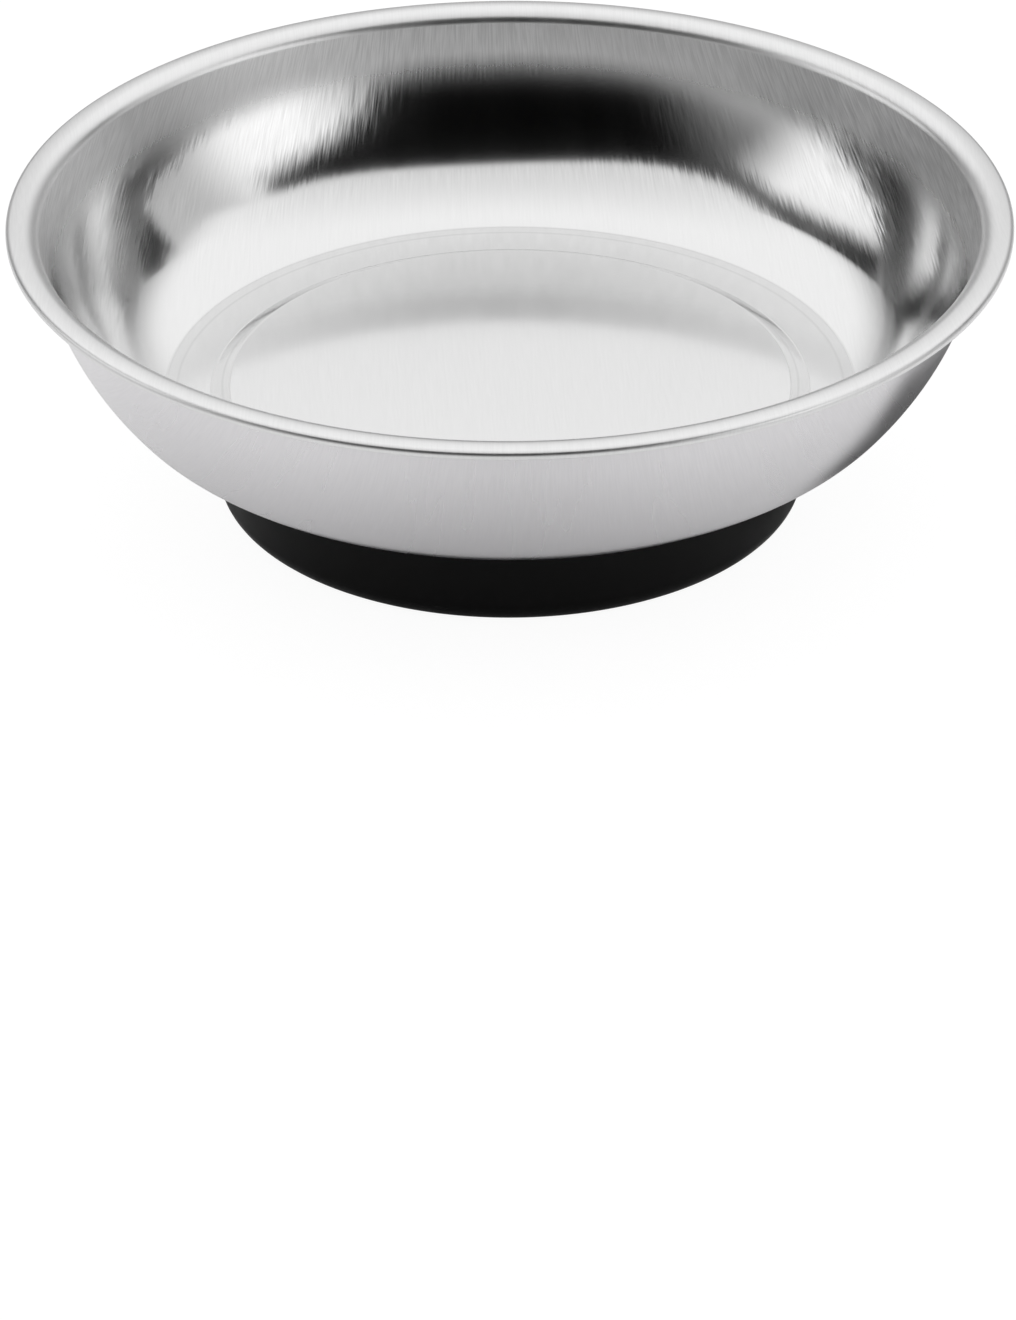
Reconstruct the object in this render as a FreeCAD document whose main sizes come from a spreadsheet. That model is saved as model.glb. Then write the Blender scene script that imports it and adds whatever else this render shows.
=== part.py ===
"""Round magnetic parts bowl: a drawn stainless dish bonded to a ring magnet in a rubber cup.

Millimetres, +Z up. The origin is the centre of the cup's foot, so the bowl stands on z = 0 and
every piece is a body of revolution about Z. A half section's sketch has the radius as its x and
the height as its y.
"""

import FreeCAD, Part
import math
import os
import Sketcher
from FreeCAD import Vector

# The driving dimensions, in millimetres, and what each one means.
SIZES = [
    ("rim_radius", 75.0, "outside radius of the rim"),
    ("rim_height", 45.6, "highest point of the rim"),
    ("sheet_gauge", 0.8, "thickness of the stainless sheet"),
    ("rim_crown", 9.0, "radius of the slightly domed top of the flange"),
    ("rim_crown_reach", 73.0, "radius at which the flange is highest"),
    ("rim_edge_round", 0.9, "radius of the turned-down edge of the flange"),
    ("rim_skirt", 0.3, "upright stretch below that turned-down edge"),
    ("rim_bend", 2.6, "radius of the bend from the wall to the flange"),
    ("wall_upper_round", 44.3, "radius of the upper wall's arc, inner surface"),
    ("wall_lower_round", 17.1, "radius of the lower wall's arc, inner surface"),
    ("wall_centre_reach", 26.0, "how far from the axis the upper arc's centre is"),
    ("wall_centre_height", 50.2, "height of the upper arc's centre"),
    ("wall_straight_from", 39.5, "height at which the upper arc gives way to a straight wall"),
    ("floor_radius", 52.0, "where the wall meets the ring of floor"),
    ("floor_height", 16.65, "height of the floor there, inner surface"),
    ("floor_round", 0.6, "radius of the bend from the wall to the floor"),
    ("step_foot_radius", 45.2, "foot of the raised platform"),
    ("step_foot_height", 16.15, "height of the floor at the platform's foot"),
    ("step_foot_round", 0.8, "radius of the bend at the platform's foot"),
    ("platform_radius", 42.4, "edge of the raised platform"),
    ("platform_height", 17.35, "height of the platform, inner surface"),
    ("platform_round", 1.2, "radius of the bend at the platform's edge"),
    ("cup_radius", 44.4, "outside radius of the rubber cup"),
    ("cup_wall", 3.6, "wall thickness of the cup"),
    ("cup_foot_round", 2.8, "radius of the cup's lower edge"),
    ("cup_seat_width", 2.4, "width of the sloping seat around the cup's top"),
    ("cup_seat_drop", 1.05, "drop of that seat, which follows the step under the bowl"),
    ("boss_radius", 15.6, "outside radius of the boss that centres the magnet"),
    ("boss_wall", 2.4, "wall thickness of that boss"),
    ("boss_rise", 6.0, "how far the boss stands above the cup's floor"),
    ("magnet_radius", 40.0, "outside radius of the ring magnet"),
    ("magnet_hole", 16.0, "radius of the magnet's hole"),
    ("magnet_thickness", 14.0, "thickness of the magnet"),
    ("magnet_chamfer", 0.5, "chamfer on the magnet's edges"),
    ("bond_film", 0.25, "thickness of each adhesive film"),
]

# Heights of the stack under the platform, each an expression of the driving dimensions.
CUP_TOP = "Sizes.platform_height - Sizes.sheet_gauge"
MAGNET_TOP = f"{CUP_TOP} - Sizes.bond_film"
MAGNET_FOOT = f"{MAGNET_TOP} - Sizes.magnet_thickness"
CUP_FLOOR = f"{MAGNET_FOOT} - Sizes.bond_film"

# The points of a sketch element, and the sketch's own origin and vertical axis.
START, END, CENTRE = 1, 2, 3
ORIGIN, AXIS = -1, -2

# An arc that the outline follows with its centre on the left, or on the right.
LEFT, RIGHT = "left", "right"

doc = FreeCAD.newDocument("magnetic_parts_bowl")
sheet = doc.addObject("Spreadsheet::Sheet", "Sizes")
for row, (alias, value, meaning) in enumerate(SIZES, start=1):
    sheet.set(f"A{row}", alias)
    sheet.set(f"B{row}", str(value))
    sheet.set(f"C{row}", meaning)
    sheet.setAlias(f"B{row}", alias)
doc.recompute()


# ---- helpers ----


def value_of(expression):
    """What an expression of the sheet's aliases comes to."""
    return float(sheet.evalExpression(expression))


def spot(x_expression, y_expression):
    """The sketch point that two expressions give."""
    return Vector(value_of(x_expression), value_of(y_expression), 0)


def unit(vector):
    """The vector with a length of 1."""
    return vector / vector.Length


def left_of(vector):
    """The vector turned a quarter turn anticlockwise."""
    return Vector(-vector.y, vector.x, 0)


def rounded_corner(before, corner, after, radius):
    """Centre of the arc that rounds a corner of two lines, and the points where it meets them."""
    back = unit(before - corner)
    on = unit(after - corner)
    half = back.getAngle(on) / 2
    run = radius / math.tan(half)
    centre = corner + unit(back + on) * (radius / math.sin(half))
    return centre, corner + back * run, corner + on * run


def left_meeting(centre_a, reach_a, centre_b, reach_b):
    """The point at those distances from two centres, on the left of the line from a to b."""
    line = centre_b - centre_a
    along = (reach_a**2 - reach_b**2 + line.Length**2) / (2 * line.Length)
    across = math.sqrt(reach_a**2 - along**2)
    return centre_a + unit(line) * along + left_of(unit(line)) * across


def run_to_reach(start, way, centre, reach):
    """How far along a line the point is that lies at that distance beyond a centre."""
    offset = centre - start
    aside = offset.dot(left_of(way))
    return offset.dot(way) + math.sqrt(reach**2 - aside**2)


def bind(sketch, kind, *where, to):
    """Adds a dimension to a sketch and ties it to an expression."""
    index = sketch.addConstraint(Sketcher.Constraint(kind, *where, value_of(to)))
    sketch.setExpression(f"Constraints[{index}]", to)


def bind_point(sketch, element, point, x_expression, y_expression):
    """Ties a point of a sketch element to a place in the half section."""
    bind(sketch, "DistanceX", ORIGIN, START, element, point, to=x_expression)
    bind(sketch, "DistanceY", ORIGIN, START, element, point, to=y_expression)


def origin_feature(body, role):
    """The plane or axis of a body's own origin that has this role."""
    return next(item for item in body.Origin.OriginFeatures if item.Role == role)


def body_sketch(body, name, plane):
    """A new sketch on one of a body's own origin planes."""
    sketch = body.newObject("Sketcher::SketchObject", name)
    sketch.AttachmentSupport = (origin_feature(body, plane), "")
    sketch.MapMode = "FlatFace"
    return sketch


def circles_at_height(feature, height):
    """Names of a feature's full circular edges that lie at one height."""
    return [
        f"Edge{number}"
        for number, edge in enumerate(feature.Shape.Edges, start=1)
        if edge.Closed and abs(edge.CenterOfMass.z - height) < 1e-3
    ]


# ---- bowl: one pressing, drawn as the upper surface of its sheet ----


class SurfaceLine:
    """A chain of lines and arcs in a sketch, each tangent to the one before it."""

    def __init__(self, sketch):
        self.sketch = sketch
        self.last = None

    def join(self, element, enters, leaves):
        """Makes an element tangent to the chain's end, and returns its number."""
        if self.last is not None:
            tangent = Sketcher.Constraint("Tangent", *self.last, element, enters)
            self.sketch.addConstraint(tangent)
        self.last = (element, leaves)
        return element

    def line(self, start, end):
        """Adds a straight stretch."""
        element = self.sketch.addGeometry(Part.LineSegment(start, end), False)
        return self.join(element, START, END)

    def arc(self, centre, start, end, side, radius_alias):
        """Adds an arc whose centre is on one side of the way along the chain."""
        ends = [start, end] if side == LEFT else [end, start]
        angles = [math.atan2(p.y - centre.y, p.x - centre.x) for p in ends]
        circle = Part.Circle(centre, Vector(0, 0, 1), value_of(f"Sizes.{radius_alias}"))
        element = self.sketch.addGeometry(Part.ArcOfCircle(circle, *angles), False)
        self.join(element, *((START, END) if side == LEFT else (END, START)))
        bind(self.sketch, "Radius", element, to=f"Sizes.{radius_alias}")
        return element


def corner_point(sketch, place, *elements):
    """Adds a construction point that lies on each of those elements, and returns its number."""
    point = sketch.addGeometry(Part.Point(place), True)
    for element in elements:
        sketch.addConstraint(Sketcher.Constraint("PointOnObject", point, START, element))
    return point


def draw_sheet_surface(sketch):
    """The upper surface of the pressing, from the axis out to the rim's edge."""
    hub = spot("0", "Sizes.platform_height")
    brink = spot("Sizes.platform_radius", "Sizes.platform_height")
    foot = spot("Sizes.step_foot_radius", "Sizes.step_foot_height")
    floor_edge = spot("Sizes.floor_radius", "Sizes.floor_height")
    upper = spot("Sizes.wall_centre_reach", "Sizes.wall_centre_height")
    crown = spot("Sizes.rim_crown_reach", "Sizes.rim_height - Sizes.rim_crown")
    floor_round = value_of("Sizes.floor_round")
    lower_round = value_of("Sizes.wall_lower_round")
    upper_round = value_of("Sizes.wall_upper_round")
    bend_round = value_of("Sizes.rim_bend")
    crown_round = value_of("Sizes.rim_crown")
    edge_round = value_of("Sizes.rim_edge_round")

    # The lower wall's arc runs through the floor's edge and touches the upper arc from inside.
    lower = left_meeting(upper, upper_round - lower_round, floor_edge, lower_round)
    wall_joint = upper + unit(lower - upper) * upper_round

    # The bend into the floor stands on the floor's line and touches the lower arc from inside.
    floor_way = unit(floor_edge - foot)
    above_foot = foot + left_of(floor_way) * floor_round
    run = run_to_reach(above_foot, floor_way, lower, lower_round - floor_round)
    floor_bend = above_foot + floor_way * run
    floor_end = foot + floor_way * run
    wall_foot = lower + unit(floor_bend - lower) * lower_round

    # Above the arcs the wall runs straight on, touching the upper arc where that ends.
    drop = upper.y - value_of("Sizes.wall_straight_from")
    arc_end = upper + Vector(math.sqrt(upper_round**2 - drop**2), -drop, 0)
    wall_way = -left_of(unit(upper - arc_end))

    # The bend into the flange stands on that line and touches the crown from inside.
    behind_wall = arc_end - left_of(wall_way) * bend_round
    rise = run_to_reach(behind_wall, wall_way, crown, crown_round - bend_round)
    rim_bend = behind_wall + wall_way * rise
    wall_top = arc_end + wall_way * rise
    flange_start = crown + unit(rim_bend - crown) * crown_round

    # The rim's edge turns down until it is upright at the outside radius, and runs on a little.
    edge_x = value_of("Sizes.rim_radius - Sizes.rim_edge_round")
    edge_y = crown.y + math.sqrt((crown_round - edge_round) ** 2 - (edge_x - crown.x) ** 2)
    edge = Vector(edge_x, edge_y, 0)
    flange_end = crown + unit(edge - crown) * crown_round
    edge_end = edge + Vector(edge_round, 0, 0)
    skirt_end = edge_end - Vector(0, value_of("Sizes.rim_skirt"), 0)

    brink_bend = rounded_corner(hub, brink, foot, value_of("Sizes.platform_round"))
    foot_bend = rounded_corner(brink, foot, floor_edge, value_of("Sizes.step_foot_round"))

    chain = SurfaceLine(sketch)
    platform = chain.line(hub, brink_bend[1])
    chain.arc(*brink_bend, RIGHT, "platform_round")
    step = chain.line(brink_bend[2], foot_bend[1])
    chain.arc(*foot_bend, LEFT, "step_foot_round")
    floor = chain.line(foot_bend[2], floor_end)
    chain.arc(floor_bend, floor_end, wall_foot, LEFT, "floor_round")
    lower_wall = chain.arc(lower, wall_foot, wall_joint, LEFT, "wall_lower_round")
    upper_wall = chain.arc(upper, wall_joint, arc_end, LEFT, "wall_upper_round")
    chain.line(arc_end, wall_top)
    chain.arc(rim_bend, wall_top, flange_start, RIGHT, "rim_bend")
    flange = chain.arc(crown, flange_start, flange_end, RIGHT, "rim_crown")
    rim_edge = chain.arc(edge, flange_end, edge_end, RIGHT, "rim_edge_round")
    skirt = chain.line(edge_end, skirt_end)

    sketch.addConstraint(Sketcher.Constraint("Horizontal", platform))
    sketch.addConstraint(Sketcher.Constraint("PointOnObject", platform, START, AXIS))
    bind(sketch, "DistanceY", ORIGIN, START, platform, START, to="Sizes.platform_height")

    # Construction points at the sharp corners that the three floor bends round off.
    brink_point = corner_point(sketch, brink, platform, step)
    foot_point = corner_point(sketch, foot, step, floor)
    floor_point = corner_point(sketch, floor_edge, floor, lower_wall)
    bind(sketch, "DistanceX", ORIGIN, START, brink_point, START, to="Sizes.platform_radius")
    bind_point(sketch, foot_point, START, "Sizes.step_foot_radius", "Sizes.step_foot_height")
    bind_point(sketch, floor_point, START, "Sizes.floor_radius", "Sizes.floor_height")

    wall_centre = ("Sizes.wall_centre_reach", "Sizes.wall_centre_height")
    crown_centre = ("Sizes.rim_crown_reach", "Sizes.rim_height - Sizes.rim_crown")
    edge_centre = "Sizes.rim_radius - Sizes.rim_edge_round"
    bind_point(sketch, upper_wall, CENTRE, *wall_centre)
    bind(sketch, "DistanceY", ORIGIN, START, upper_wall, END, to="Sizes.wall_straight_from")
    bind_point(sketch, flange, CENTRE, *crown_centre)
    bind(sketch, "DistanceX", ORIGIN, START, rim_edge, CENTRE, to=edge_centre)
    sketch.addConstraint(Sketcher.Constraint("Horizontal", rim_edge, CENTRE, rim_edge, START))
    bind(sketch, "DistanceY", skirt, END, skirt, START, to="Sizes.rim_skirt")


def make_bowl():
    """The dish: its surface line, thickened by the sheet's gauge and turned about Z."""
    sketch = doc.addObject("Sketcher::SketchObject", "bowl_surface")
    upright = FreeCAD.Rotation(Vector(1, 0, 0), 90)
    sketch.Placement = FreeCAD.Placement(Vector(), upright)
    draw_sheet_surface(sketch)
    doc.recompute()

    section = doc.addObject("Part::Offset2D", "bowl_section")
    section.Source = sketch
    section.Mode = "Skin"
    section.Fill = True
    section.setExpression("Value", "-Sizes.sheet_gauge")

    bowl = doc.addObject("Part::Revolution", "bowl")
    bowl.Source = section
    bowl.Axis = (0, 0, 1)
    bowl.Angle = 360
    bowl.Solid = True
    return bowl


# ---- base cup: moulded rubber, open at the top, with a boss for the magnet ----


def make_base_cup():
    """The rubber cup that holds the magnet and stands on the bench."""
    inside = "Sizes.cup_radius - Sizes.cup_wall"
    boss_top = f"{CUP_FLOOR} + Sizes.boss_rise"
    boss_inside = "Sizes.boss_radius - Sizes.boss_wall"
    outline = [
        ("0", "0"),
        ("Sizes.cup_radius", "0"),
        ("Sizes.cup_radius", f"{CUP_TOP} - Sizes.cup_seat_drop"),
        ("Sizes.cup_radius - Sizes.cup_seat_width", CUP_TOP),
        (inside, CUP_TOP),
        (inside, CUP_FLOOR),
        ("Sizes.boss_radius", CUP_FLOOR),
        ("Sizes.boss_radius", boss_top),
        (boss_inside, boss_top),
        (boss_inside, CUP_FLOOR),
        ("0", CUP_FLOOR),
    ]
    body = doc.addObject("PartDesign::Body", "base_cup")
    sketch = body_sketch(body, "base_cup_section", "XZ_Plane")
    corners = [spot(*corner) for corner in outline]
    for corner, following in zip(corners, corners[1:] + corners[:1]):
        sketch.addGeometry(Part.LineSegment(corner, following), False)
    for element, (x_expression, y_expression) in enumerate(outline):
        before = (element - 1) % len(outline)
        sketch.addConstraint(Sketcher.Constraint("Coincident", before, END, element, START))
        if x_expression == "0":
            sketch.addConstraint(Sketcher.Constraint("PointOnObject", element, START, AXIS))
        else:
            bind(sketch, "DistanceX", ORIGIN, START, element, START, to=x_expression)
        bind(sketch, "DistanceY", ORIGIN, START, element, START, to=y_expression)

    turned = body.newObject("PartDesign::Revolution", "base_cup_turned")
    turned.Profile = sketch
    turned.ReferenceAxis = (sketch, ["V_Axis"])
    turned.Angle = 360
    doc.recompute()

    foot = body.newObject("PartDesign::Fillet", "base_cup_foot_round")
    foot.Base = (turned, circles_at_height(turned, 0))
    foot.setExpression("Radius", "Sizes.cup_foot_round")
    body.Tip = foot
    return body


# ---- ring magnet: a ferrite ring, chamfered on every edge ----


def make_ring_magnet():
    """The ring magnet, standing on the lower adhesive film."""
    body = doc.addObject("PartDesign::Body", "ring_magnet")
    sketch = body_sketch(body, "ring_magnet_face", "XY_Plane")
    for alias in ("magnet_radius", "magnet_hole"):
        circle = Part.Circle(Vector(), Vector(0, 0, 1), value_of(f"Sizes.{alias}"))
        element = sketch.addGeometry(circle, False)
        sketch.addConstraint(Sketcher.Constraint("Coincident", element, CENTRE, ORIGIN, START))
        bind(sketch, "Radius", element, to=f"Sizes.{alias}")

    ring = body.newObject("PartDesign::Pad", "ring_magnet_pressed")
    ring.Profile = sketch
    ring.setExpression("Length", "Sizes.magnet_thickness")
    doc.recompute()

    edges = body.newObject("PartDesign::Chamfer", "ring_magnet_chamfer")
    faces = (0, value_of("Sizes.magnet_thickness"))
    edges.Base = (ring, [name for height in faces for name in circles_at_height(ring, height)])
    edges.setExpression("Size", "Sizes.magnet_chamfer")
    body.Tip = edges
    body.setExpression("Placement.Base.z", MAGNET_FOOT)
    return body


# ---- adhesive films: thin rings on the magnet's two flat faces ----


def make_film(name, foot_expression):
    """A ring of adhesive as wide as the magnet's flat face, with its lower face at a height."""
    disc = doc.addObject("Part::Cylinder", f"{name}_disc")
    disc.setExpression("Radius", "Sizes.magnet_radius - Sizes.magnet_chamfer")
    hole = doc.addObject("Part::Cylinder", f"{name}_hole")
    hole.setExpression("Radius", "Sizes.magnet_hole + Sizes.magnet_chamfer")
    for cylinder in (disc, hole):
        cylinder.setExpression("Height", "Sizes.bond_film")
    film = doc.addObject("Part::Cut", name)
    film.Base = disc
    film.Tool = hole
    film.setExpression("Placement.Base.z", foot_expression)
    return film


# ---- the assembly ----

sub_parts = [
    make_bowl(),
    make_base_cup(),
    make_ring_magnet(),
    make_film("bowl_bond", MAGNET_TOP),
    make_film("cup_bond", CUP_FLOOR),
]
doc.recompute()

for item in doc.Objects:
    if "Invalid" in item.State or "Error" in item.State:
        raise RuntimeError(f"{item.Name} failed to recompute: {item.State}")
for sub_part in sub_parts:
    shape = sub_part.Shape
    if shape.isNull() or not shape.isValid() or len(shape.Solids) != 1:
        raise RuntimeError(f"{sub_part.Label} is not one valid solid")

os.makedirs("parts", exist_ok=True)
for sub_part in sub_parts:
    sub_part.Shape.exportStep(f"parts/{sub_part.Label}.step")
    box = sub_part.Shape.optimalBoundingBox(False)
    print(
        f"{sub_part.Label}: {box.XLength:.2f} x {box.YLength:.2f} mm,"
        f" z {box.ZMin:.2f} to {box.ZMax:.2f}, {sub_part.Shape.Volume:.0f} mm3"
    )
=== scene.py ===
"""The looks of the round magnetic parts bowl: brushed steel dish, rubber cup and a bright studio.

Metres, +Z up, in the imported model's own frame. The dish and the cup are turned about Z, so each is
a half section swept round the axis. The magnet and its two adhesive films keep their CAD meshes.
"""

import math

import bpy
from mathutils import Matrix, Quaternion, Vector


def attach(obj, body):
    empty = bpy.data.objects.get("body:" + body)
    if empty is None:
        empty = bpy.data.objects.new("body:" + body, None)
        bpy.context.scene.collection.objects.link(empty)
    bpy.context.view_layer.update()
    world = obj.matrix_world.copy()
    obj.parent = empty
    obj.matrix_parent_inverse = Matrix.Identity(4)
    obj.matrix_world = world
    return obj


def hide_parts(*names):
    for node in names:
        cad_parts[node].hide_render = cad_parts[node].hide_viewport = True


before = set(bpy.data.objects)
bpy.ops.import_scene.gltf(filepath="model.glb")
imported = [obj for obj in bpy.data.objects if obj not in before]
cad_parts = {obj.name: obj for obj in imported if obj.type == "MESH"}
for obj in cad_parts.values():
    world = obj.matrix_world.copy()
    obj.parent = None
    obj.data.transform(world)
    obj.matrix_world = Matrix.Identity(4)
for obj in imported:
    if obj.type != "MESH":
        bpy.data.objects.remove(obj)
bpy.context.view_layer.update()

MM = 0.001

# The dish's half section, in millimetres: its upper surface, and the gauge of the sheet.
SHEET_GAUGE = 0.8
RIM_RADIUS = 75.0
RIM_HEIGHT = 45.6
RIM_CROWN = 9.0
RIM_CROWN_REACH = 73.0
RIM_EDGE_ROUND = 0.9
RIM_SKIRT = 0.3
RIM_BEND = 2.6
RIM_DEBURR = 0.2
RIM_STARTS = 70.0
WALL_UPPER_ROUND = 44.3
WALL_LOWER_ROUND = 17.1
WALL_CENTRE = (26.0, 50.2)
WALL_STRAIGHT_FROM = 39.5
FLOOR_EDGE = (52.0, 16.65)
FLOOR_ROUND = 0.6
STEP_FOOT = (45.2, 16.15)
STEP_FOOT_ROUND = 0.8
PLATFORM_EDGE = (42.4, 17.35)
PLATFORM_ROUND = 1.2

# The cup's half section, in millimetres.
CUP_RADIUS = 44.4
CUP_WALL = 3.6
CUP_FOOT_ROUND = 2.8
CUP_SEAT_WIDTH = 2.4
CUP_SEAT_DROP = 1.05
CUP_TOP = PLATFORM_EDGE[1] - SHEET_GAUGE
CUP_FLOOR = 2.05
BOSS_RADIUS = 15.6
BOSS_WALL = 2.4
BOSS_RISE = 6.0
CUP_EDGE_ROUND = 0.25

TURN_STEPS = 320

# The brush lines run across the flat blank, this many degrees off the front-to-back line.
GRAIN_TURN = 3.0

# How often each kind of mark repeats in a metre of the blank: across the brush lines, then along them.
BRUSH_LINES = (3200, 170, 1)
BRUSH_GROUPS = (800, 30, 1)
FINISH_SWEEPS = (160, 20, 1)
SHEET_WAVES = (60, 40, 1)

# How far out on the blank the draw has changed the finish, in metres.
DRAWN_FROM_TO = (0.058, 0.070)
MATT_FROM_TO = (0.0745, 0.0830)
MATT_RAGGED = 0.002

# Thin dark rings of painted shade along the floor's creases: how far out on the blank, in metres, and
# half their width.
CREASE_SHADE_RINGS = (0.0523, 0.0506, 0.0436)
CREASE_SHADE_HALF_WIDTH = 0.00035

# The stage: the room's glow above the horizon in degrees, its darkest level, and the floor.
HORIZON_SPREAD = 9.2
DARK_ROOM = 0.0015
FLOOR_REACH = 6.0
FLOOR_SIDES = 96
FLOOR_SHADE = 0.13
FLOOR_GLOW = 0.94

CAMERA_LENS = 180.6
CAMERA_STAND = (0, -0.8841, 0.4873)
CAMERA_TARGET = (-0.0005, -0.0546, 0)
CAMERA_ROLL = -0.0042


# ---- half sections ----


def unit(vector):
    """The vector with a length of 1."""
    return vector.normalized()


def left_of(vector):
    """The vector turned a quarter turn anticlockwise."""
    return Vector((-vector.y, vector.x))


def left_meeting(centre_a, reach_a, centre_b, reach_b):
    """The point at those distances from two centres, on the left of the line from a to b."""
    line = centre_b - centre_a
    along = (reach_a**2 - reach_b**2 + line.length_squared) / (2 * line.length)
    across = math.sqrt(reach_a**2 - along**2)
    return centre_a + unit(line) * along + left_of(unit(line)) * across


def run_to_reach(start, way, centre, reach):
    """How far along a line the point is that lies at that distance beyond a centre."""
    offset = centre - start
    aside = offset.dot(left_of(way))
    return offset.dot(way) + math.sqrt(reach**2 - aside**2)


class Outline:
    """A half section's line as points, each with the outward normal on the left of the way."""

    def __init__(self):
        self.points = []

    def add(self, point, normal):
        """Adds a point, unless the line is already there with that normal."""
        if self.points:
            last, facing = self.points[-1]
            if (last - point).length < 1e-6 and facing.dot(normal) > 0.999999:
                return
        self.points.append((point, normal))

    def line(self, start, end, pieces=1):
        """Adds a straight stretch in equal pieces."""
        normal = left_of(unit(end - start))
        for i in range(pieces + 1):
            self.add(start.lerp(end, i / pieces), normal)

    def arc(self, centre, start, end, pieces):
        """Adds the shorter arc about a centre."""
        first = start - centre
        turn = first.angle_signed(end - centre) * -1
        side = -1 if turn > 0 else 1
        for i in range(pieces + 1):
            angle = turn * i / pieces
            cos, sin = math.cos(angle), math.sin(angle)
            spoke = Vector((first.x * cos - first.y * sin, first.x * sin + first.y * cos))
            self.add(centre + spoke, unit(spoke) * side)

    def corner(self, before, corner, after, radius, pieces):
        """Adds the arc that rounds a corner of two lines, and returns where it ends."""
        back = unit(before - corner)
        on = unit(after - corner)
        half = back.angle(on) / 2
        run = radius / math.tan(half)
        centre = corner + unit(back + on) * (radius / math.sin(half))
        self.arc(centre, corner + back * run, corner + on * run, pieces)
        return corner + on * run


def sheet_upper_surface():
    """The upper surface of the dish, from the axis out to the rim's edge."""
    hub = Vector((0, PLATFORM_EDGE[1]))
    brink = Vector(PLATFORM_EDGE)
    foot = Vector(STEP_FOOT)
    floor_edge = Vector(FLOOR_EDGE)
    upper = Vector(WALL_CENTRE)
    crown = Vector((RIM_CROWN_REACH, RIM_HEIGHT - RIM_CROWN))

    lower = left_meeting(upper, WALL_UPPER_ROUND - WALL_LOWER_ROUND, floor_edge, WALL_LOWER_ROUND)
    wall_joint = upper + unit(lower - upper) * WALL_UPPER_ROUND

    floor_way = unit(floor_edge - foot)
    above_foot = foot + left_of(floor_way) * FLOOR_ROUND
    run = run_to_reach(above_foot, floor_way, lower, WALL_LOWER_ROUND - FLOOR_ROUND)
    floor_bend = above_foot + floor_way * run
    floor_end = foot + floor_way * run
    wall_foot = lower + unit(floor_bend - lower) * WALL_LOWER_ROUND

    drop = upper.y - WALL_STRAIGHT_FROM
    arc_end = upper + Vector((math.sqrt(WALL_UPPER_ROUND**2 - drop**2), -drop))
    wall_way = -left_of(unit(upper - arc_end))
    behind_wall = arc_end - left_of(wall_way) * RIM_BEND
    rise = run_to_reach(behind_wall, wall_way, crown, RIM_CROWN - RIM_BEND)
    rim_bend = behind_wall + wall_way * rise
    wall_top = arc_end + wall_way * rise
    flange_start = crown + unit(rim_bend - crown) * RIM_CROWN

    edge_x = RIM_RADIUS - RIM_EDGE_ROUND
    edge_rise = math.sqrt((RIM_CROWN - RIM_EDGE_ROUND) ** 2 - (edge_x - crown.x) ** 2)
    edge = Vector((edge_x, crown.y + edge_rise))
    flange_end = crown + unit(edge - crown) * RIM_CROWN
    edge_end = edge + Vector((RIM_EDGE_ROUND, 0))

    outline = Outline()
    outline.line(hub, brink - Vector((PLATFORM_ROUND, 0)), pieces=24)
    outline.corner(hub, brink, foot, PLATFORM_ROUND, pieces=6)
    outline.corner(brink, foot, floor_edge, STEP_FOOT_ROUND, pieces=6)
    outline.line(outline.points[-1][0], floor_end, pieces=6)
    outline.arc(floor_bend, floor_end, wall_foot, pieces=4)
    outline.arc(lower, wall_foot, wall_joint, pieces=20)
    outline.arc(upper, wall_joint, arc_end, pieces=26)
    outline.line(arc_end, wall_top, pieces=4)
    outline.arc(rim_bend, wall_top, flange_start, pieces=14)
    outline.arc(crown, flange_start, flange_end, pieces=8)
    outline.arc(edge, flange_end, edge_end, pieces=12)
    outline.line(edge_end, edge_end - Vector((0, RIM_SKIRT)))
    return outline.points


def arc_lengths(points):
    """How far along the outline each of its points lies."""
    lengths = [points[0][0].x]
    for (before, _), (after, _) in zip(points, points[1:]):
        lengths.append(lengths[-1] + (after - before).length)
    return lengths


# ---- meshes turned about Z ----


def turned_mesh(name, rows):
    """A surface of revolution. Each row is (radius, height, normal, blank radius, slot)."""
    vertices, normals, corners = [], [], []
    starts = []
    for radius, height, normal, blank, _ in rows:
        starts.append(len(vertices))
        steps = TURN_STEPS if radius > 0 else 1
        for i in range(steps):
            angle = 2 * math.pi * i / TURN_STEPS
            cos, sin = math.cos(angle), math.sin(angle)
            vertices.append((radius * cos * MM, radius * sin * MM, height * MM))
            normals.append((normal.x * cos, normal.x * sin, normal.y))
            corners.append((blank, angle))

    faces, slots = [], []
    for row in range(len(rows) - 1):
        a, b = starts[row], starts[row + 1]
        a_is_hub, b_is_hub = rows[row][0] == 0, rows[row + 1][0] == 0
        if a_is_hub and b_is_hub:
            continue
        for i in range(TURN_STEPS):
            j = (i + 1) % TURN_STEPS
            if a_is_hub:
                faces.append((a, b + i, b + j))
            elif b_is_hub:
                faces.append((a + i, b, a + j))
            else:
                faces.append((a + i, b + i, b + j, a + j))
            slots.append(rows[row][4])

    mesh = bpy.data.meshes.new(name)
    mesh.from_pydata(vertices, [], faces)
    mesh.polygons.foreach_set("use_smooth", [True] * len(faces))
    mesh.polygons.foreach_set("material_index", slots)
    blank_map = mesh.uv_layers.new(name="blank")
    grain = math.radians(GRAIN_TURN)
    for loop in mesh.loops:
        reach, angle = corners[loop.vertex_index]
        place = (reach * math.cos(angle - grain) * MM, reach * math.sin(angle - grain) * MM)
        blank_map.data[loop.index].uv = place
    mesh.normals_split_custom_set_from_vertices(normals)
    return mesh


def add_piece(name, mesh, materials, node):
    """Puts a mesh in the scene in place of a CAD node."""
    piece = bpy.data.objects.new(name, mesh)
    bpy.context.scene.collection.objects.link(piece)
    for material in materials:
        mesh.materials.append(material)
    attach(piece, "root")
    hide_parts(node)
    return piece


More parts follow.
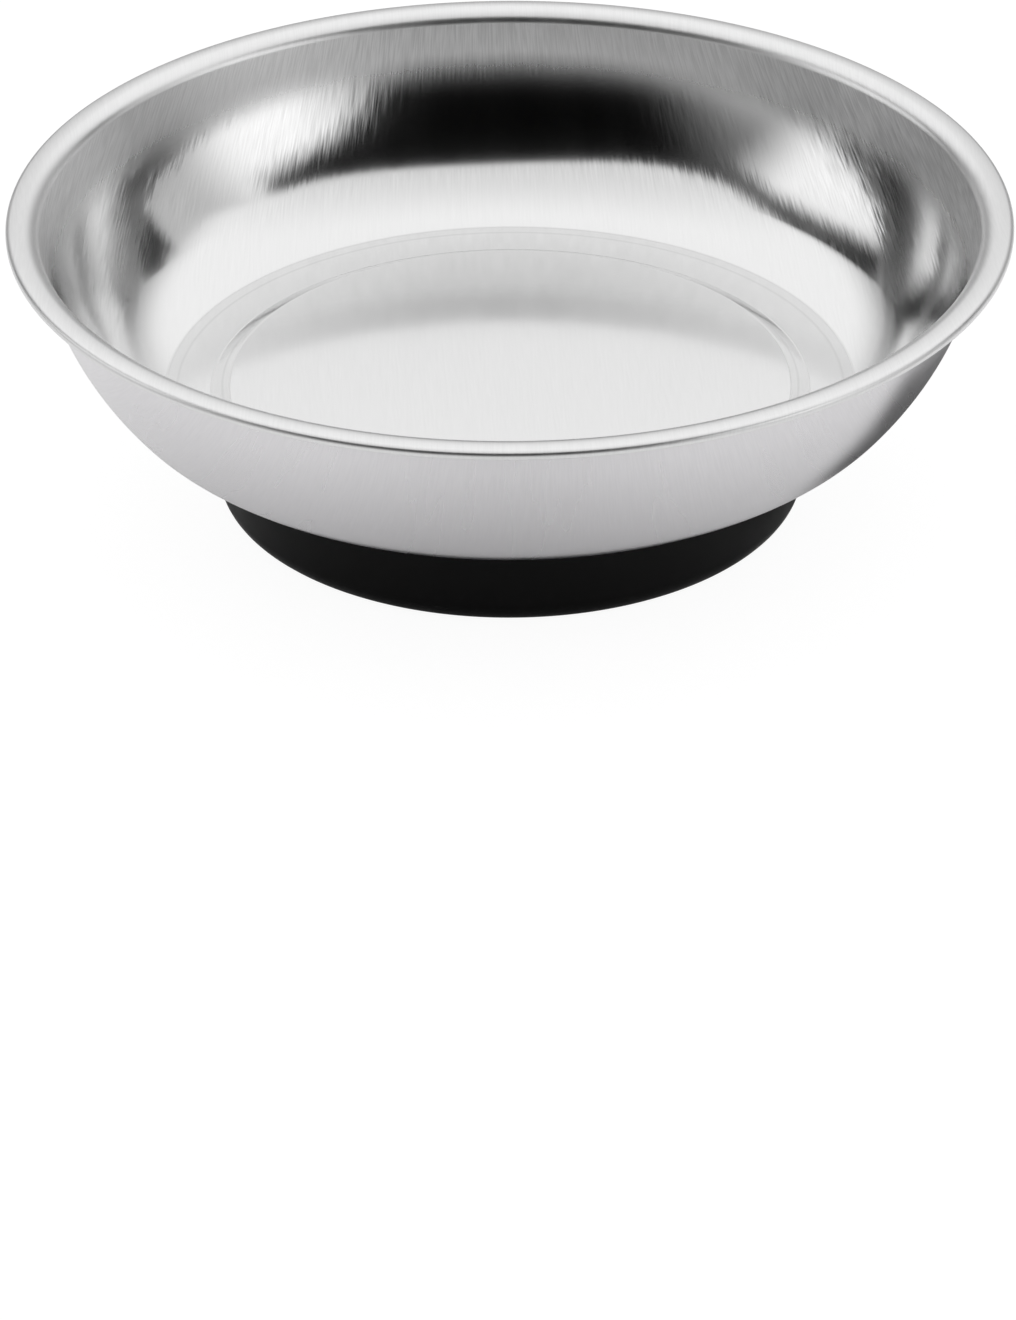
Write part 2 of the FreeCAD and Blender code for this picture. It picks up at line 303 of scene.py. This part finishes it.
def dish_rows():
    """The dish's closed half section: upper surface, edge, then the same sheet's lower surface."""
    upper = sheet_upper_surface()
    lengths = arc_lengths(upper)
    rows = []
    for (point, normal), length in zip(upper, lengths):
        slot = 2 if point.x > RIM_STARTS else 0
        rows.append((point.x, point.y, normal, length, slot))
    last, _ = upper[-1]
    half_gauge = SHEET_GAUGE / 2
    for i in range(1, 8):
        angle = math.pi * i / 8
        place = Vector((math.cos(angle) * half_gauge, -math.sin(angle) * RIM_DEBURR))
        facing = Vector((math.cos(angle) * RIM_DEBURR, -math.sin(angle) * half_gauge))
        rows.append(
            (
                last.x - half_gauge + place.x,
                last.y + place.y,
                unit(facing),
                lengths[-1] + SHEET_GAUGE * i / 8,
                2,
            )
        )
    for (point, normal), length in zip(reversed(upper), reversed(lengths)):
        under = point - normal * SHEET_GAUGE
        rows.append((max(under.x, 0.0), under.y, -normal, length, 1))
    return rows


def cup_rows():
    """The cup's closed half section, from the middle of its floor round to its underside."""
    inside = CUP_RADIUS - CUP_WALL
    corners = [
        (Vector((CUP_RADIUS, 0)), CUP_FOOT_ROUND, 12),
        (Vector((CUP_RADIUS, CUP_TOP - CUP_SEAT_DROP)), CUP_EDGE_ROUND, 4),
        (Vector((CUP_RADIUS - CUP_SEAT_WIDTH, CUP_TOP)), CUP_EDGE_ROUND, 4),
        (Vector((inside, CUP_TOP)), CUP_EDGE_ROUND, 4),
        (Vector((inside, CUP_FLOOR)), CUP_EDGE_ROUND, 4),
        (Vector((BOSS_RADIUS, CUP_FLOOR)), CUP_EDGE_ROUND, 4),
        (Vector((BOSS_RADIUS, CUP_FLOOR + BOSS_RISE)), CUP_EDGE_ROUND, 4),
        (Vector((BOSS_RADIUS - BOSS_WALL, CUP_FLOOR + BOSS_RISE)), CUP_EDGE_ROUND, 4),
        (Vector((BOSS_RADIUS - BOSS_WALL, CUP_FLOOR)), CUP_EDGE_ROUND, 4),
    ]
    start, end = Vector((0, 0)), Vector((0, CUP_FLOOR))
    places = [start] + [corner for corner, _, _ in corners] + [end]
    outline = Outline()
    outline.line(start, Vector((CUP_RADIUS - CUP_FOOT_ROUND, 0)), pieces=12)
    for i, (corner, radius, pieces) in enumerate(corners, start=1):
        outline.corner(places[i - 1], corner, places[i + 1], radius, pieces)
    outline.line(outline.points[-1][0], end, pieces=4)
    rows = []
    lengths = arc_lengths(outline.points)
    for (point, normal), length in zip(outline.points, lengths):
        rows.append((max(point.x, 0.0), point.y, -normal, length, 0))
    rows.reverse()
    return rows


# ---- shader graphs ----


class Graph:
    """Adds and wires nodes. A number or a socket can be given for any input."""

    def __init__(self, tree):
        self.tree = tree
        tree.nodes.clear()

    def node(self, kind, **properties):
        """A new node with these properties."""
        made = self.tree.nodes.new(kind)
        for name, value in properties.items():
            setattr(made, name, value)
        return made

    def feed(self, socket, value):
        """Links a socket to an input, or sets the input's number."""
        if isinstance(value, bpy.types.NodeSocket):
            self.tree.links.new(value, socket)
        else:
            socket.default_value = value

    def math(self, operation, *values):
        """One Math node."""
        made = self.node("ShaderNodeMath", operation=operation)
        for socket, value in zip(made.inputs, values):
            self.feed(socket, value)
        return made.outputs[0]

    def add(self, a, b):
        """a plus b."""
        return self.math("ADD", a, b)

    def times(self, a, b):
        """a times b."""
        return self.math("MULTIPLY", a, b)

    def ramp(self, value, low, high, to_low=0.0, to_high=1.0):
        """A smooth step from one value to another."""
        made = self.node("ShaderNodeMapRange", interpolation_type="SMOOTHSTEP")
        self.feed(made.inputs["Value"], value)
        for name, number in (
            ("From Min", low),
            ("From Max", high),
            ("To Min", to_low),
            ("To Max", to_high),
        ):
            self.feed(made.inputs[name], number)
        return made.outputs["Result"]

    def less(self, a, b):
        """a minus b."""
        return self.math("SUBTRACT", a, b)

    def length(self, a, b):
        """The length of the flat vector (a, b)."""
        return self.math("SQRT", self.add(self.times(a, a), self.times(b, b)))

    def noise(self, vector, scale, detail=2.0, roughness=0.5):
        """Noise from 0 to 1 about 0.5, along stretched coordinates."""
        stretched = self.node("ShaderNodeVectorMath", operation="MULTIPLY")
        self.feed(stretched.inputs[0], vector)
        stretched.inputs[1].default_value = scale
        made = self.node("ShaderNodeTexNoise")
        self.feed(made.inputs["Vector"], stretched.outputs[0])
        made.inputs["Scale"].default_value = 1.0
        made.inputs["Detail"].default_value = detail
        made.inputs["Roughness"].default_value = roughness
        return made.outputs[0]


def new_material(name):
    """An empty node material, with its principled shader wired to the output."""
    material = bpy.data.materials.new(name)
    material.use_nodes = True
    graph = Graph(material.node_tree)
    shader = graph.node("ShaderNodeBsdfPrincipled")
    output = graph.node("ShaderNodeOutputMaterial")
    graph.tree.links.new(shader.outputs[0], output.inputs["Surface"])
    return material, graph, shader


def brushed_steel(name, tone, roughness, anisotropy, slope, fleck, matt_edge=0.0):
    """Steel brushed in straight lines across the flat blank before it was drawn.

    The stretch of the draw leaves the marks plainer, and the finish more matt, towards the blank's edge.
    """
    material, graph, shader = new_material(name)
    blank = graph.node("ShaderNodeUVMap", uv_map="blank").outputs["UV"]
    length = graph.node("ShaderNodeVectorMath", operation="LENGTH")
    graph.feed(length.inputs[0], blank)
    reach = length.outputs["Value"]
    lean = graph.less(graph.noise(blank, BRUSH_LINES, detail=1.5, roughness=0.6), 0.5)
    drift = graph.less(graph.noise(blank, BRUSH_GROUPS, detail=2.0), 0.5)
    sweep = graph.noise(blank, FINISH_SWEEPS, detail=2.0)
    sway = graph.less(graph.noise(blank, SHEET_WAVES, detail=1.0), 0.5)

    # The marks' slopes, as a normal map on the blank.
    drawn = graph.ramp(reach, *DRAWN_FROM_TO, 0.15, 1.0)
    depth = graph.times(drawn, slope)
    fine = graph.times(graph.add(lean, graph.times(drift, 0.25)), depth)
    across = graph.add(fine, graph.times(sway, slope * 0.15))
    along = graph.times(sway, slope * 0.04)
    direction = graph.node("ShaderNodeCombineXYZ")
    graph.feed(direction.inputs["X"], graph.add(across, 0.5))
    graph.feed(direction.inputs["Y"], graph.add(along, 0.5))
    direction.inputs["Z"].default_value = 1.0
    normal_map = graph.node("ShaderNodeNormalMap", uv_map="blank")
    graph.feed(normal_map.inputs["Color"], direction.outputs[0])

    # Their tone, and the rings of painted shade along the floor's creases.
    plain = graph.add(drawn, graph.ramp(reach, *MATT_FROM_TO, 0.0, 0.8))
    mark = graph.times(graph.add(lean, graph.times(drift, 0.3)), plain)
    crease_shade = 0.0
    for radius in CREASE_SHADE_RINGS:
        off_ring = graph.math("ABSOLUTE", graph.less(reach, radius))
        crease_shade = graph.add(graph.ramp(off_ring, 0.0, CREASE_SHADE_HALF_WIDTH, 1.0, 0.0), crease_shade)
    # Painted shade: the colour is darkened in thin rings where the floor creases.
    shade = graph.less(graph.ramp(mark, -0.35, 0.35), graph.times(crease_shade, 0.45))
    colour = graph.node("ShaderNodeMix", data_type="RGBA")
    graph.feed(colour.inputs["Factor"], shade)
    colour.inputs["A"].default_value = (*[channel * (1 - fleck) for channel in tone], 1)
    colour.inputs["B"].default_value = (*[channel * (1 + fleck) for channel in tone], 1)
    graph.feed(shader.inputs["Base Color"], colour.outputs["Result"])

    ragged = graph.add(reach, graph.times(lean, MATT_RAGGED))
    matt = graph.ramp(ragged, *MATT_FROM_TO, 0.0, matt_edge)
    finish = graph.ramp(sweep, 0.3, 0.7, roughness * 0.95, roughness * 1.05)
    graph.feed(shader.inputs["Roughness"], graph.add(finish, matt))
    shader.inputs["Metallic"].default_value = 1.0
    shader.inputs["Anisotropic"].default_value = anisotropy
    tangent = graph.node("ShaderNodeTangent", direction_type="UV_MAP", uv_map="blank")
    graph.feed(shader.inputs["Tangent"], tangent.outputs[0])
    graph.feed(shader.inputs["Normal"], normal_map.outputs[0])
    return material


def add_grain(graph, shader, height, strength, distance):
    """A fine bump on the shader."""
    bump = graph.node("ShaderNodeBump")
    bump.inputs["Strength"].default_value = strength
    bump.inputs["Distance"].default_value = distance
    graph.feed(bump.inputs["Height"], height)
    graph.feed(shader.inputs["Normal"], bump.outputs[0])


def black_rubber():
    """Moulded black rubber with a soft sheen and a fine grain."""
    material, graph, shader = new_material("black_rubber_moulded")
    place = graph.node("ShaderNodeTexCoord").outputs["Object"]
    grain = graph.noise(place, (6000, 6000, 6000), detail=2.0)
    patch = graph.noise(place, (120, 120, 120), detail=3.0)
    add_grain(graph, shader, grain, 0.15, 0.00005)
    shader.inputs["Base Color"].default_value = (0.004, 0.004, 0.004, 1)
    graph.feed(shader.inputs["Roughness"], graph.ramp(patch, 0.3, 0.7, 0.34, 0.44))
    shader.inputs["Specular IOR Level"].default_value = 0.1
    return material


def speckled(name, scale, detail, dark, light, strength, smooth, rough):
    """A matt two-tone material, bumped and roughened by the noise that mixes its tones."""
    material, graph, shader = new_material(name)
    place = graph.node("ShaderNodeTexCoord").outputs["Object"]
    speck = graph.noise(place, (scale, scale, scale), detail=detail)
    tone = graph.node("ShaderNodeMix", data_type="RGBA")
    graph.feed(tone.inputs["Factor"], speck)
    tone.inputs["A"].default_value = (*dark, 1)
    tone.inputs["B"].default_value = (*light, 1)
    graph.feed(shader.inputs["Base Color"], tone.outputs["Result"])
    graph.feed(shader.inputs["Roughness"], graph.ramp(speck, 0.3, 0.7, smooth, rough))
    add_grain(graph, shader, speck, strength, 0.0001)
    return material


def ferrite():
    """Sintered ferrite: dark grey, matt and faintly speckled."""
    dark, light = (0.035, 0.034, 0.036), (0.075, 0.073, 0.074)
    return speckled("ferrite_sintered", 2500, 4.0, dark, light, 0.3, 0.55, 0.8)


def adhesive():
    """Cured adhesive: amber grey and faintly cloudy."""
    dark, light = (0.42, 0.38, 0.30), (0.55, 0.51, 0.42)
    return speckled("adhesive_cured", 400, 3.0, dark, light, 0.2, 0.35, 0.5)


# ---- studio ----


# The studio is a map of directions, in degrees from the zenith: to the right and to the back. Where
# the bowl's steel reflects a direction, these functions say how bright it is.


def overhead_cover(g, right, back):
    """1 under the overhead box and 0 outside it: a round-cornered panel that runs on behind the bowl."""
    left = g.times(right, -1.0)
    slant = g.ramp(right, -30.0, 30.0, 0.04, 0.08)
    to_front = g.math("MAXIMUM", g.less(g.times(right, slant), back), 0.0)
    widening = g.times(g.ramp(back, -14.0, 8.0, 0.0, 6.5), g.ramp(back, 24.0, 36.0, 1.0, 0.35))
    right_half = g.add(g.times(widening, g.ramp(right, 0.0, 40.0)), 57.0)
    left_half = g.ramp(back, -18.0, 26.0, 53.0, 59.5)
    half = g.add(g.times(g.ramp(left, -10.0, 10.0), g.less(left_half, right_half)), right_half)
    wide = g.math("POWER", g.math("DIVIDE", g.math("ABSOLUTE", right), half), 2.3)
    deep = g.math("POWER", g.math("DIVIDE", to_front, 41.5), 2.3)
    return g.ramp(g.add(wide, deep), 0.94, 1.06, 1.0, 0.0)


def overhead_light(g, back, zenith):
    """The overhead box's brightness, which falls off low at the back."""
    return g.times(g.ramp(back, -40.0, 18.0, 0.82, 1.04), g.ramp(zenith, 57.0, 80.0, 1.0, 0.33))


def left_light(g, right, back):
    """A box that is bright beside the bowl, across a dark gap, and gives way to a grey wall in front."""
    left = g.times(right, -1.0)
    inner_edge = g.ramp(back, -32.0, 32.0, 56.5, 67.5)
    box = g.times(g.ramp(g.less(left, inner_edge), -3.0, 3.0), g.ramp(left, 76.0, 88.0, 1.07, 0.8))
    box = g.times(box, g.ramp(back, 33.0, 44.0, 1.0, 0.5))
    wall = g.ramp(left, 38.0, 92.0, 0.0, 0.45)
    in_front = g.ramp(back, -32.0, -6.0, 1.0, 0.0)
    return g.add(g.times(box, g.less(1.0, in_front)), g.times(wall, in_front))


def right_light(g, right, back):
    """A box that is brightest in front and softer beside the bowl, with a dark patch at the back."""
    inner_edge = g.add(g.ramp(back, -55.0, -15.0, 45.0, 58.0), g.ramp(back, -18.0, -8.0, 0.0, -8.0))
    box = g.times(g.ramp(g.less(right, inner_edge), -6.0, 6.0), g.ramp(back, -25.0, 6.0, 1.15, 0.57))
    box = g.times(box, g.ramp(back, -78.0, -36.0, 0.25, 1.0))
    patch = g.times(g.ramp(right, 59.5, 62.0), g.ramp(right, 73.0, 79.0, 1.0, 0.0))
    patch = g.times(patch, g.times(g.ramp(back, 22.0, 26.0), g.ramp(back, 43.0, 48.0, 1.0, 0.0)))
    box = g.times(box, g.add(g.times(patch, -0.98), 1.0))
    return g.times(box, g.ramp(back, 30.0, 50.0, 1.0, 0.8))


def horizon_light(g, back, zenith):
    """The pale glow of the room along the horizon."""
    height = g.less(90.0, zenith)
    glow = g.math("EXPONENT", g.times(g.times(height, height), -1 / HORIZON_SPREAD**2))
    return g.times(g.times(glow, 0.31), g.ramp(back, -50.0, -10.0, 1.0, 0.0))


def white_background(g, strength):
    """A white background of that strength."""
    made = g.node("ShaderNodeBackground")
    made.inputs["Color"].default_value = (1, 1, 1, 1)
    g.feed(made.inputs["Strength"], strength)
    return made.outputs[0]


def mixed(g, factor, first, second):
    """The first shader where the factor is 0, and the second where it is 1."""
    made = g.node("ShaderNodeMixShader")
    g.feed(made.inputs[0], factor)
    g.feed(made.inputs[1], first)
    g.feed(made.inputs[2], second)
    return made.outputs[0]


def added(g, first, second):
    """The two shaders' light together."""
    made = g.node("ShaderNodeAddShader")
    g.feed(made.inputs[0], first)
    g.feed(made.inputs[1], second)
    return made.outputs[0]


def studio_world():
    """A bright tent: a soft box overhead, one on each side, and the dark room in front of them."""
    world = bpy.data.worlds.new("studio")
    bpy.context.scene.world = world
    world.use_nodes = True
    g = Graph(world.node_tree)
    parts = g.node("ShaderNodeSeparateXYZ")
    g.feed(parts.inputs[0], g.node("ShaderNodeTexCoord").outputs["Generated"])
    dx, dy, dz = parts.outputs
    level = g.length(dx, dy)
    zenith = g.math("DEGREES", g.math("ARCTAN2", level, dz))
    spread = g.math("DIVIDE", zenith, g.math("MAXIMUM", level, 0.0001))
    right = g.times(spread, dx)
    back = g.times(spread, dy)

    cover = overhead_cover(g, right, back)
    overhead = g.times(cover, overhead_light(g, back, zenith))
    sides = g.add(right_light(g, right, back), horizon_light(g, back, zenith))
    sides = g.add(left_light(g, right, back), sides)
    total = g.add(g.add(g.times(sides, g.less(1.0, cover)), overhead), DARK_ROOM)

    seen_directly = g.node("ShaderNodeLightPath").outputs["Is Camera Ray"]
    output = g.node("ShaderNodeOutputWorld")
    shown = mixed(g, seen_directly, white_background(g, total), white_background(g, 1.0))
    g.feed(output.inputs["Surface"], shown)


def floor_for_reflections(g, x, y):
    """What the steel sees: a grey-white table with painted shade that darkens it far off, a painted
    shadow behind on the right, and a painted glow near the bowl.
    """
    reach = g.length(x, y)
    # Painted shadow: the floor is darkened close behind the bowl on the right.
    beside = g.ramp(x, 0.042, 0.058)
    behind = g.ramp(g.add(y, g.times(x, -0.3)), -0.048, -0.030)
    near = g.ramp(reach, 0.085, 0.11, 1.0, 0.0)
    patch = g.times(g.times(beside, behind), near)
    outside_painted_shadow = g.add(g.times(patch, -0.85), 1.0)
    # Painted shade: the floor's colour fades darker far from the bowl.
    tone = g.times(g.ramp(reach, 0.12, 0.6, 0.78, 0.4), outside_painted_shadow)
    grey = g.node("ShaderNodeCombineColor")
    for channel in grey.inputs[:3]:
        g.feed(channel, tone)
    cloth = g.node("ShaderNodeBsdfDiffuse")
    g.feed(cloth.inputs["Color"], grey.outputs[0])

    # Painted glow: the floor gives off light of its own near the bowl, more to the sides and less far
    # off.
    aside = g.ramp(g.math("ABSOLUTE", x), 0.0, 0.07, 0.17, 0.26)
    lifted = g.times(aside, g.ramp(reach, 0.12, 0.4, 1.0, 0.2))
    lift = g.node("ShaderNodeEmission")
    lift.inputs["Color"].default_value = (1, 1, 1, 1)
    g.feed(lift.inputs["Strength"], g.times(lifted, outside_painted_shadow))
    return added(g, cloth.outputs[0], lift.outputs[0])


def floor_for_camera(g):
    """What the camera sees: the same floor lit up to a plain pale tone."""
    paper = g.node("ShaderNodeBsdfDiffuse")
    paper.inputs["Color"].default_value = (*[FLOOR_SHADE] * 3, 1)
    glow = g.node("ShaderNodeEmission")
    glow.inputs["Color"].default_value = (1, 1, 1, 1)
    glow.inputs["Strength"].default_value = FLOOR_GLOW
    return added(g, paper.outputs[0], glow.outputs[0])


def pale_floor():
    """A large pale disc that the bowl stands on. Its underside can be looked through."""
    mesh = bpy.data.meshes.new("floor")
    angles = [2 * math.pi * i / FLOOR_SIDES for i in range(FLOOR_SIDES)]
    rim = [(math.cos(angle) * FLOOR_REACH, math.sin(angle) * FLOOR_REACH, 0) for angle in angles]
    mesh.from_pydata(rim, [], [tuple(range(FLOOR_SIDES))])
    floor = bpy.data.objects.new("floor", mesh)
    bpy.context.scene.collection.objects.link(floor)

    material = bpy.data.materials.new("pale_floor")
    material.use_nodes = True
    g = Graph(material.node_tree)
    place = g.node("ShaderNodeSeparateXYZ")
    g.feed(place.inputs[0], g.node("ShaderNodeTexCoord").outputs["Object"])
    x, y, _ = place.outputs
    seen_directly = g.node("ShaderNodeLightPath").outputs["Is Camera Ray"]
    # The steel sees the floor with painted shade, a painted shadow and a painted glow; the camera sees
    # it plain and pale.
    upper_face = mixed(g, seen_directly, floor_for_reflections(g, x, y), floor_for_camera(g))
    clear = g.node("ShaderNodeBsdfTransparent").outputs[0]
    from_below = g.node("ShaderNodeNewGeometry").outputs["Backfacing"]
    output = g.node("ShaderNodeOutputMaterial")
    g.feed(output.inputs["Surface"], mixed(g, from_below, upper_face, clear))
    mesh.materials.append(material)


def add_camera():
    """The camera: a long lens from the front, looking down on the bowl."""
    data = bpy.data.cameras.new("camera")
    data.lens = CAMERA_LENS
    data.sensor_width = 36.0
    data.clip_start = 0.05
    data.clip_end = 50.0
    camera = bpy.data.objects.new("camera", data)
    bpy.context.scene.collection.objects.link(camera)
    stand = Vector(CAMERA_STAND)
    look = (Vector(CAMERA_TARGET) - stand).to_track_quat("-Z", "Y")
    camera.rotation_mode = "QUATERNION"
    camera.location = stand
    camera.rotation_quaternion = look @ Quaternion((0, 0, 1), CAMERA_ROLL)
    bpy.context.scene.camera = camera


# ---- the scene ----

steel_inside = brushed_steel("steel_inside", (0.82, 0.82, 0.82), 0.125, 0.5, 0.05, 0.09, 0.24)
steel_outside = brushed_steel("steel_outside", (0.815, 0.805, 0.82), 0.28, 0.6, 0.06, 0.02)
steel_rim = brushed_steel("steel_rim", (0.82, 0.82, 0.82), 0.32, 0.3, 0.05, 0.02)
add_piece(
    "dish",
    turned_mesh("dish", dish_rows()),
    [steel_inside, steel_outside, steel_rim],
    "bowl",
)
add_piece("cup", turned_mesh("cup", cup_rows()), [black_rubber()], "base_cup")
for node, material in (
    ("ring_magnet", ferrite()),
    ("bowl_bond", adhesive()),
    ("cup_bond", adhesive()),
):
    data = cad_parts[node].data
    data.materials.clear()
    data.materials.append(material)

studio_world()
pale_floor()
add_camera()
bpy.context.scene.view_settings.view_transform = "Standard"
